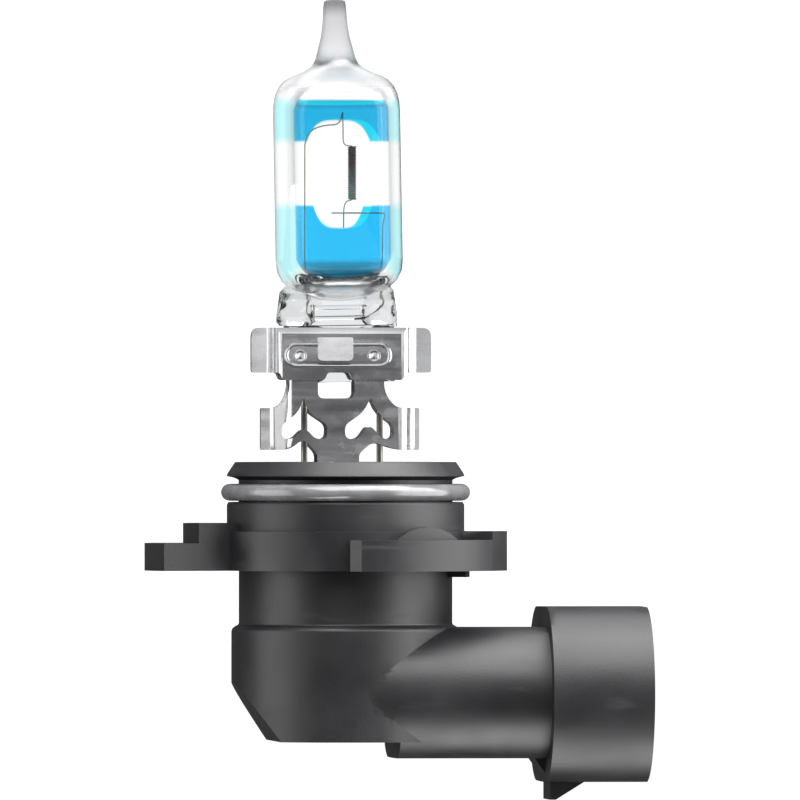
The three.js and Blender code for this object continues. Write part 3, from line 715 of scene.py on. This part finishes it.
# %% A bent strip
def strip(course, bottom, top, bend=0.45):
    """A sheet bent to a course seen from above, standing from one height to another."""
    line = bent(course, bend)
    last = len(line) - 1
    offsets = []
    for i in range(len(line)):
        heading = line[min(i + 1, last)] - line[max(i - 1, 0)]
        offsets.append(Vector((-heading.y, heading.x)).normalized() * SHEET / 2)
    outline = [p + n for p, n in zip(line, offsets)] + [p - n for p, n in zip(line[::-1], offsets[::-1])]
    return prism([(p.x, p.y, bottom) for p in outline], (0, 0, top - bottom))


# %% Clip round the pinched glass
CLIP_LEFT, CLIP_RIGHT, CLIP_LOW, CLIP_LIP, CLIP_HIGH = -8.88, 7.99, 14.8, 14.1, 19.0
CLIP_Y = -2.55
CLIP_FACE = CLIP_Y - SHEET / 2
clip_course = [(CLIP_LEFT, -0.36), (-7.0, -0.62), (-6.6, CLIP_Y), (5.4, CLIP_Y), (6.2, -0.62),
               (CLIP_RIGHT, -0.36)]
clip_outline = rounded([
    (CLIP_LEFT, CLIP_LOW, 0.3), (-6.4, CLIP_LOW), (-6.1, CLIP_LIP), (-2.2, CLIP_LIP), (-1.9, CLIP_LOW),
    (0.1, CLIP_LOW), (0.4, CLIP_LIP), (5.1, CLIP_LIP), (5.5, CLIP_LOW), (CLIP_RIGHT, CLIP_LOW, 0.3),
    (CLIP_RIGHT, CLIP_HIGH, 0.9), (CLIP_LEFT, CLIP_HIGH, 0.9)], 0.25)
clip = make_object("clip_front", strip(clip_course, 13.5, 20))
trimmed(clip, from_front(clip_outline, -4, 0))
relief = [(CLIP_FACE - 0.1, 18.15), (CLIP_FACE - 0.1, 19.2), (CLIP_FACE + 0.28, 19.2)]
cut(clip, prism([(-6.9, y, z) for y, z in relief], (12.6, 0, 0)))
soften(clip, 0.06)

BEAD_X, BEAD_Z, BEAD_FLAT, BEAD_R, BEAD_PIPE = -0.95, 16.42, 3.85, 1.0, 0.26
bead_course = [(BEAD_X, 0, BEAD_Z + BEAD_R)]
for centre, start in ((BEAD_X + BEAD_FLAT, 90), (BEAD_X - BEAD_FLAT, -90)):
    bead_course += [(centre + BEAD_R * cos(radians(start - a)), 0, BEAD_Z + BEAD_R * sin(radians(start - a)))
                    for a in range(0, 181, 12)]
bead_course += [(BEAD_X - 0.02, 0, BEAD_Z + BEAD_R)]
bead = drawn_wire(bead_course, BEAD_PIPE, 14)
bmesh.ops.translate(bead, verts=bead.verts, vec=(0, (CLIP_FACE + 0.13) * MM, 0))
laid_on(clip, bead)


def weld_mark(x, z):
    """A spot weld: a low ring with a button in its middle, facing the front."""
    mark = turned([[0, 0.1], [0.12, 0.09], [0.22, 0.04], [0.32, 0.03], [0.42, 0.09], [0.5, 0.12], [0.58, 0.1],
                   [0.7, -0.09], [0, -0.09]], 32)
    bmesh.ops.rotate(mark, verts=mark.verts, cent=(0, 0, 0), matrix=Matrix.Rotation(pi / 2, 3, "X"))
    bmesh.ops.translate(mark, verts=mark.verts, vec=Vector((x, CLIP_FACE, z)) * MM)
    return mark


for weld_x in (-4.5, 2.41):
    laid_on(clip, weld_mark(weld_x, 16.35))
tongue_outline = rounded([(-2.85, 15.85, 0.5), (0.45, 15.85, 0.5), (0.45, 18.05), (-2.85, 18.05)], 0.15)
tongue = from_front(tongue_outline, CLIP_FACE - 0.28, CLIP_FACE + 0.1)
bmesh.ops.rotate(tongue, verts=tongue.verts, cent=Vector((0, CLIP_FACE, 18.0)) * MM,
                 matrix=Matrix.Rotation(radians(-7), 3, "X"))
laid_on(clip, tongue)
finished(clip, STEEL, "clip_steel", "pinch_clip_front", smooth=35)
finished(mirrored(clip, "clip_rear"), STEEL, "clip_steel", "pinch_clip_rear", smooth=35)

# %% Carrier between the clip and the base
frame_course = [(-8.0, -0.40), (-6.7, -0.56), (-5.5, -FRAME_Y), (5.2, -FRAME_Y), (6.05, -0.62), (6.87, -0.42)]
frame_outline = rounded([
    (-8.0, 7.57), (-5.4, 7.57, 0.8), (-4.1, 8.7, 1.3), (-2.8, 7.2, 0.3), (-2.8, 5.0), (1.1, 5.0),
    (1.1, 7.2, 0.3), (2.3, 8.35, 1.2), (4.8, 7.57, 0.8), (6.87, 7.57), (6.87, 11.5), (4.5, 11.5, 0.8),
    (3.45, 13.0, 0.8), (3.45, 17.3), (0.7, 17.3), (0.7, 12.4, 0.55), (-2.76, 12.4, 0.55), (-2.76, 17.3),
    (-5.42, 17.3),
    (-5.42, 13.0, 0.8), (-6.3, 11.5, 0.8), (-8.0, 11.5)], 0.2)
left_opening = rounded([
    (-4.07, 12.5, 0.1), (-3.65, 11.1, 0.8), (-1.85, 9.9, 0.45), (-1.9, 8.6, 0.62), (-3.0, 8.6, 0.5),
    (-4.0, 9.7, 0.7), (-5.0, 8.6, 0.5), (-6.1, 8.6, 0.62), (-6.1, 9.9, 0.45), (-4.6, 11.1, 0.8)], 0.4)
right_opening = rounded([
    (2.2, 12.5, 0.1), (2.85, 11.0, 0.8), (4.35, 9.9, 0.45), (4.35, 8.6, 0.6), (3.3, 8.6, 0.5),
    (2.05, 10.0, 0.7), (1.1, 8.6, 0.5), (-0.22, 8.6, 0.62), (-0.22, 9.9, 0.45), (1.5, 11.1, 0.8)], 0.4)
carrier = make_object("carrier_front", strip(frame_course, 4.5, 18))
trimmed(carrier, from_front(frame_outline, -4, 0))
for opening in (left_opening, right_opening):
    cut(carrier, from_front(opening, -4, 0))
soften(carrier, 0.07)
finished(carrier, STEEL, "frame_steel", "carrier_frame_front", smooth=35)
finished(mirrored(carrier, "carrier_rear"), STEEL, "frame_steel", "carrier_frame_rear", smooth=35)

# %% [markdown]
# ## The quartz capsule
# The envelope is real glass here: a closed outer skin and an inner one round the hollow, with the
# wall between them. The wall is thick, so light near the edge is thrown back inside it, and the
# bands look deep blue only in the middle of the tube. The blue is a film on the wall of the hollow,
# with a clear window left round the filament, and outside it there is only a faint cyan tint.

# %% Capsule sizes
TUBE_R = 5.94
HOLLOW_R, HOLLOW_X = 4.44, 0.3
PIVOT = Vector((-0.43, 0, 16)) * MM
LEAN = radians(1.03)
LEANING = Matrix.Translation(PIVOT) @ Matrix.Rotation(-LEAN, 4, "Y") @ Matrix.Translation((0, 0, -PIVOT.z))
UPPER_BAND = (36.4, 40.2)
LOWER_BAND = (23.4, 30.4)
WINDOW_X = -0.62
DOME_Z = 40.7
TUBE_FOOT = 23.2
TINT_X = -0.4
RIB_TOP = 21.9


# %% Heights and distances in the glass
def between(tree, value, low, high, soft):
    """Is 1 between two heights and 0 outside them."""
    return math_node(tree, "MULTIPLY", step(tree, value, low, soft), drop(tree, value, high, soft))


def aside_of(tree, x, centre):
    """How far a place lies to either side of an upright line."""
    return math_node(tree, "ABSOLUTE", math_node(tree, "SUBTRACT", x, centre))


def curve_of(tree, aside, reach):
    """A flat-bottomed curve, for the rounded ends of the window."""
    return math_node(tree, "POWER", math_node(tree, "MULTIPLY", aside, 1 / reach), 4.0)


# %% Quartz
QUARTZ_IOR = 1.46
DOME_FROST, MELTED_FROST, PRESSED_FROST = 0.4, 0.22, 0.03
RIPPLE_ASIDE, RIPPLE_SCALE, RIPPLE_DEPTH = 2.2, 520.0, 0.0011
BULGE_LOW = 21.4


def quartz(name, bands):
    """Clear quartz. The film, or a faint tint of it, is laid over the clear colour."""
    material, tree, shader, place = new_finish(name)
    shader.inputs["Transmission Weight"].default_value = 1.0
    shader.inputs["IOR"].default_value = QUARTZ_IOR
    cloud = noise(tree, place, 220.0)
    split = tree.nodes.new("ShaderNodeSeparateXYZ")
    tree.links.new(place, split.inputs["Vector"])
    x = math_node(tree, "MULTIPLY", split.outputs["X"], 1 / MM)
    z = math_node(tree, "MULTIPLY", split.outputs["Z"], 1 / MM)
    clear = blend_colours(tree, ranged(tree, cloud, 0, 1), (0.96, 0.98, 0.985), (1.0, 1.0, 1.0))
    tree.links.new(bands(tree, x, z, clear), shader.inputs["Base Color"])
    frosted = math_node(tree, "MULTIPLY", step(tree, z, DOME_Z + 0.4, 1.0), DOME_FROST)
    melted = math_node(tree, "MULTIPLY", between(tree, z, BULGE_LOW, TUBE_FOOT, 0.3), MELTED_FROST)
    pressed = math_node(tree, "MULTIPLY", drop(tree, z, TUBE_FOOT, 0.5), PRESSED_FROST)
    worked = math_node(tree, "MAXIMUM", math_node(tree, "ADD", frosted, melted), pressed)
    rough = math_node(tree, "ADD", ranged(tree, cloud, 0.0, 0.02), worked)
    tree.links.new(rough, shader.inputs["Roughness"])
    folded = math_node(tree, "MULTIPLY", drop(tree, z, RIB_TOP, 0.3),
                       step(tree, aside_of(tree, x, TINT_X), RIPPLE_ASIDE, 0.5))
    ripple = math_node(tree, "MULTIPLY", noise(tree, place, RIPPLE_SCALE, 1.0), folded)
    bump(tree, shader, ripple, 0.9, RIPPLE_DEPTH)
    return material


# %% The faint tint outside
MARGIN_TINT = (0.52, 0.92, 0.95)
# The foot and rib greys are painted shade: the pressed glass is clear, and the grey stands in for the dark
# seen through it.
BULGE_PAINTED_SHADE, RIB_PAINTED_SHADE = (0.66, 0.68, 0.69), (0.72, 0.73, 0.74)
DOME_TINT, TIP_TINT, TIP_END_TINT = (1.0, 0.98, 1.0), (0.66, 0.66, 0.67), (0.30, 0.30, 0.31)


def faint_tint(tree, x, z, clear):
    """Outside, the bands leave only a pale cyan, and the tip is smoky. The grey on the foot and the ribs is
    painted shade for the dark that the clear pressed glass bends into view.
    """
    upper = between(tree, z, UPPER_BAND[0], UPPER_BAND[1] + 0.4, 0.4)
    lower = between(tree, z, LOWER_BAND[0], LOWER_BAND[1], 0.4)
    margin = step(tree, aside_of(tree, x, TINT_X), HOLLOW_R - 0.1, 0.25)
    banded = math_node(tree, "MULTIPLY", math_node(tree, "MAXIMUM", upper, lower), margin)
    colour = blend_colours(tree, banded, clear, MARGIN_TINT)
    for where, tint in ((between(tree, z, BULGE_LOW - 0.1, TUBE_FOOT, 0.4), BULGE_PAINTED_SHADE),
                        (drop(tree, z, BULGE_LOW - 0.1, 0.4), RIB_PAINTED_SHADE),
                        (step(tree, z, DOME_Z, 0.4), DOME_TINT),
                        (step(tree, z, 45.5, 2.2), TIP_TINT),
                        (step(tree, z, 48.6, 0.6), TIP_END_TINT)):
        colour = blend_colours(tree, where, colour, tint)
    return colour


# %% The blue film inside
WINDOW_TOP, WINDOW_FOOT, WINDOW_TOP_REACH, WINDOW_FOOT_REACH = 38.4, 28.3, 2.7, 2.1
LOWER_BLUE, UPPER_BLUE, DEEPER_BLUE = (0.0, 0.49, 0.88), (0.0, 0.42, 0.73), (0.0, 0.15, 0.25)


def blue_film(tree, x, z, clear):
    """Two bands with a rounded window between them. The film is a deeper blue near the floor of the hollow
    and under the dome.
    """
    from_middle = aside_of(tree, x, WINDOW_X)
    arch = math_node(tree, "SUBTRACT", WINDOW_TOP, curve_of(tree, from_middle, WINDOW_TOP_REACH))
    top_edge = math_node(tree, "MAXIMUM", arch, UPPER_BAND[0])
    notch = math_node(tree, "ADD", WINDOW_FOOT, curve_of(tree, from_middle, WINDOW_FOOT_REACH))
    low_edge = math_node(tree, "MINIMUM", notch, LOWER_BAND[1])
    over_window = step(tree, math_node(tree, "SUBTRACT", z, top_edge), 0)
    under_window = step(tree, math_node(tree, "SUBTRACT", low_edge, z), 0)
    upper = math_node(tree, "MULTIPLY", over_window, drop(tree, z, UPPER_BAND[1]))
    lower = math_node(tree, "MULTIPLY", under_window, step(tree, z, LOWER_BAND[0]))
    mask = math_node(tree, "MAXIMUM", upper, lower)
    # A deeper blue is painted near the floor of the hollow and under the dome.
    at_floor = drop(tree, z, LOWER_BAND[0] + 1.3, 0.25)
    at_dome = math_node(tree, "MULTIPLY", step(tree, z, UPPER_BAND[1] - 0.5, 0.3), 0.6)
    deeper = math_node(tree, "MAXIMUM", at_floor, at_dome)
    plain = blend_colours(tree, step(tree, z, 34.0, 1.0), LOWER_BLUE, UPPER_BLUE)
    film = blend_colours(tree, deeper, plain, DEEPER_BLUE)
    return blend_colours(tree, mask, clear, film)


CLEAR_QUARTZ = quartz("clear_quartz", faint_tint)
COATED_WALL = quartz("filter_coated_wall", blue_film)
print("glass:", CLEAR_QUARTZ.name, "outside,", COATED_WALL.name, "on the wall of the hollow")


# %% Envelope
def capsule_outer():
    """The tube with its molten foot, its dome and the long tip where the gas was let in."""
    return turned([
        [0, 21.5], [2.4, 21.8], [4.4, 22.5], [5.4, 23.4], [5.84, 24.3], [TUBE_R, 25.2], [TUBE_R, 39.2],
        [5.88, 40.1], [5.7, 40.9], [5.35, 41.6], [4.85, 42.15], [4.1, 42.55], [3.2, 42.9], [2.5, 43.3],
        [2.1, 43.7], [1.86, 44.2], [1.68, 44.9], [1.5, 45.6], [1.32, 46.3], [1.2, 47.1], [1.12, 48.0],
        [1.07, 49.0], [0.98, 49.5], [0.6, 49.7], [0, 49.72],
    ], 128)


def capsule_hollow():
    """The wall of the hollow, turned inside out, so that the glass lies between it and the outside."""
    wall = turned([
        [0, 23.6], [2.0, 23.6], [3.4, 23.8], [4.1, 24.4], [HOLLOW_R, 25.4], [HOLLOW_R, 39.2],
        [4.3, 40.0], [4.0, 40.7], [3.4, 41.3], [2.5, 41.85], [1.6, 42.4], [0.9, 43.0], [0.4, 43.7], [0, 44.0],
    ], 128)
    bmesh.ops.translate(wall, verts=wall.verts, vec=(HOLLOW_X * MM, 0, 0))
    bmesh.ops.reverse_faces(wall, faces=wall.faces)
    return wall


# %% Pinched foot
outer_skin = make_object("outer_skin", capsule_outer())
WEB_HALF, CLAMPED_HALF = 0.65, 1.3
web = [(-5.3, 19.0), (5.3, 19.0), (4.5, 24.2), (-4.6, 24.2)]
clamped = [(-5.0, 13.9), (4.9, 13.9), (4.9, 19.2), (-5.0, 19.2)]
joined(outer_skin, from_front(web, -WEB_HALF, WEB_HALF))
joined(outer_skin, from_front(clamped, -CLAMPED_HALF, CLAMPED_HALF))
for z in (19.9, 20.9):
    joined(outer_skin, drawn_wire([(-2.8, -WEB_HALF, z), (2.6, -WEB_HALF, z)], 0.2))
soften(outer_skin, 0.3, 3)


def rib(x, foot, head):
    """A round column of glass that swells towards the clip, pressed out beside each lead."""
    column = turned([[0, 19.25], [foot - 0.3, 19.25], [foot, 19.6], [foot, 20.1], [head, 22.4],
                     [0, 24.0]], 32)
    bmesh.ops.translate(column, verts=column.verts, vec=(x * MM, 0, 0))
    return column


joined(outer_skin, rib(-4.2, 1.8, 1.45))
joined(outer_skin, rib(3.7, 1.65, 1.35))

# %% One closed glass with its hollow
whole = mesh_of(outer_skin)
outer_count = len(whole.faces)
hollow = capsule_hollow()
hollow_mesh = bpy.data.meshes.new("hollow")
hollow.to_mesh(hollow_mesh)
hollow.free()
whole.from_mesh(hollow_mesh)
whole.faces.ensure_lookup_table()
for face in whole.faces[outer_count:]:
    face.material_index = 1
bmesh.ops.transform(whole, matrix=LEANING, verts=whole.verts)
envelope = make_object("glass_bulb", whole)
slots = [face.material_index for face in envelope.data.polygons]
finished(envelope, CLEAR_QUARTZ, "quartz_glass", "glass_envelope", "blue_coating_upper", "blue_coating_lower",
         smooth=50)
envelope.data.materials.append(COATED_WALL)
for face, slot_index in zip(envelope.data.polygons, slots):
    face.material_index = slot_index

# %% [markdown]
# ## Studio
# A catalogue picture is lit by large soft boxes against white paper. The paper is brightest straight
# behind the bulb and falls off to the sides, so the bent rays at the edges of the glass find a darker
# room and draw its outline. The floor lies well below, because in use the bulb hangs in its lamp hole.

# %% Camera
VIEW_AZIMUTH = radians(5.2)
LENS = 1000.0
SENSOR = 36.0
FRAME_WIDTH = 74.77 * MM
CENTRE_RIGHT, CENTRE_UP = 5.09 * MM, 12.24 * MM
forward = Vector((sin(VIEW_AZIMUTH), cos(VIEW_AZIMUTH), 0))
right = Vector((cos(VIEW_AZIMUTH), -sin(VIEW_AZIMUTH), 0))
distance = FRAME_WIDTH * LENS / SENSOR
camera_data = bpy.data.cameras.new("camera")
camera_data.lens = LENS
camera_data.sensor_width = SENSOR
camera_data.clip_end = 50
camera = bpy.data.objects.new("camera", camera_data)
camera.location = right * CENTRE_RIGHT + Vector((0, 0, CENTRE_UP)) - forward * distance
camera.rotation_euler = (pi / 2, 0, -VIEW_AZIMUTH)
bpy.context.scene.collection.objects.link(camera)
bpy.context.scene.camera = camera
bpy.context.scene.view_settings.view_transform = "Standard"
print("camera stands", round(distance, 2), "m away, turned", round(VIEW_AZIMUTH * 180 / pi, 1), "degrees")


# %% [markdown]
# ## Lights for each kind of surface
# Black plastic, polished strip and clear glass want different light: a box that models the plastic
# would burn out the steel. In a real studio small cards and flags keep each light to its own piece.
# Here light linking does the same. Every box is one row of a table: its place, size and brightness.

# %% Soft boxes
def softbox(name, place, width, height, radiance):
    """A rectangular light that faces the bulb. Its brightness is given per area, whatever its size."""
    data = bpy.data.lights.new(name, "AREA")
    data.shape = "RECTANGLE"
    data.size = width
    data.size_y = height
    data.energy = radiance * pi * width * height
    box = bpy.data.objects.new(name, data)
    box.location = place
    box.rotation_euler = (-Vector(place)).to_track_quat("-Z", "Y").to_euler()
    bpy.context.scene.collection.objects.link(box)
    return box


def only_for(box, *pieces):
    """A card that lights a few pieces only, as a small mirror beside them would."""
    receivers = bpy.data.collections.new(box.name + "_receivers")
    for piece in pieces:
        receivers.objects.link(piece)
    box.light_linking.receiver_collection = receivers


# %% Who is lit by what
metal_names = ("clip_front", "clip_rear", "carrier_front", "carrier_rear")
metalwork = [bpy.data.objects[name] for name in metal_names]
capsule = [envelope, filament]
moulded = [piece for piece in bpy.context.scene.objects
           if piece.type == "MESH" and piece not in metalwork and piece not in capsule]
MOULDED_LIGHTS = (
    ("key_right", (0.42, -0.12, -0.05), 0.50, 0.44, 4.4),
    ("fill_left", (-0.43, -0.08, -0.03), 0.36, 0.50, 3.0),
    ("overhead", (0.05, -0.22, 0.38), 0.60, 0.46, 6.8),
    ("over_right", (0.37, -0.12, 0.27), 0.36, 0.30, 6.5),
    ("overhead_back", (0.08, 0.07, 0.44), 0.50, 0.24, 5.0),
    ("under", (0.06, -0.07, -0.40), 0.40, 0.30, 6.6),
)
METAL_LIGHTS = (
    ("metal_left", (-0.42, 0.0, 0.05), 0.36, 0.50, 0.85),
    ("metal_right", (0.41, -0.10, 0.02), 0.50, 0.42, 2.9),
    ("metal_top", (0.0, -0.10, 0.42), 0.50, 0.46, 0.9),
    ("card_front_left", (-0.27, -0.41, 0.02), 0.36, 0.45, 1.6),
    ("card_front_right", (0.23, -0.44, 0.0), 0.22, 0.40, 0.60),
    ("card_front_top", (0.0, -0.45, 0.22), 0.36, 0.26, 1.1),
)
GLASS_LIGHTS = (
    ("glass_right", (0.43, 0.0, 0.05), 0.12, 0.50, 1.6),
    ("glass_back", (0.0, 0.42, 0.30), 0.50, 0.26, 2.2),
    ("glass_left", (-0.43, 0.05, 0.05), 0.10, 0.50, 1.0),
)
for lights, pieces in ((MOULDED_LIGHTS, moulded), (METAL_LIGHTS, metalwork), (GLASS_LIGHTS, capsule)):
    for row in lights:
        only_for(softbox(*row), *pieces)
    print(len(lights), "boxes for", len(pieces), "pieces")

# %% [markdown]
# ## Paper and room
# What glass and steel show is mostly what stands round them. So the world is two things at once:
# bright paper for every ray that looks straight through, and a dim room for rays that bounce off.
# The paper fades to the sides, which is what draws the grey outline of the glass.

# %% World: bright paper behind, dim room elsewhere
PAPER, PAPER_SIDE, ROOM = 1.16, 0.64, 0.13
FADE_FROM, FADE_TO = 0.50, 0.93
world = bpy.data.worlds.new("studio")
bpy.context.scene.world = world
world.use_nodes = True
tree = world.node_tree
heading = tree.nodes.new("ShaderNodeTexCoord")
facing = tree.nodes.new("ShaderNodeVectorMath")
facing.operation = "DOT_PRODUCT"
facing.inputs[1].default_value = forward
tree.links.new(heading.outputs["Generated"], facing.inputs[0])
paper = tree.nodes["Background"]
paper.inputs["Color"].default_value = (1, 1, 1, 1)
tree.links.new(ranged(tree, facing.outputs["Value"], PAPER_SIDE, PAPER, FADE_FROM, FADE_TO),
               paper.inputs["Strength"])
room = tree.nodes.new("ShaderNodeBackground")
room.inputs["Color"].default_value = (0.97, 0.98, 1, 1)
room.inputs["Strength"].default_value = ROOM
rays = tree.nodes.new("ShaderNodeLightPath")
seen = math_node(tree, "MAXIMUM", rays.outputs["Is Camera Ray"], rays.outputs["Is Transmission Ray"])
mix = tree.nodes.new("ShaderNodeMixShader")
tree.links.new(seen, mix.inputs["Fac"])
tree.links.new(room.outputs["Background"], mix.inputs[1])
tree.links.new(paper.outputs["Background"], mix.inputs[2])
tree.links.new(mix.outputs["Shader"], tree.nodes["World Output"].inputs["Surface"])
print("paper", PAPER, "fading to", PAPER_SIDE, "and room", ROOM)

# %% Floor
FLOOR_Z, FLOOR_GLOW = -0.055, 0.92
floor_mesh = bmesh.new()
bmesh.ops.create_grid(floor_mesh, x_segments=8, y_segments=8, size=4.0)
bmesh.ops.translate(floor_mesh, verts=floor_mesh.verts, vec=(0, 0, FLOOR_Z))
floor = make_object("paper_floor", floor_mesh)
floor_finish, floor_tree, floor_shader, floor_place = new_finish("white_paper")
fibre = noise(floor_tree, floor_place, 60.0)
floor_tree.links.new(blend_colours(floor_tree, fibre, (0.84, 0.84, 0.84), (0.88, 0.88, 0.88)),
                     floor_shader.inputs["Base Color"])
floor_shader.inputs["Roughness"].default_value = 0.9
floor_shader.inputs["Emission Color"].default_value = (1, 1, 1, 1)
floor_shader.inputs["Emission Strength"].default_value = FLOOR_GLOW
floor.data.materials.append(floor_finish)
floor.visible_glossy = False
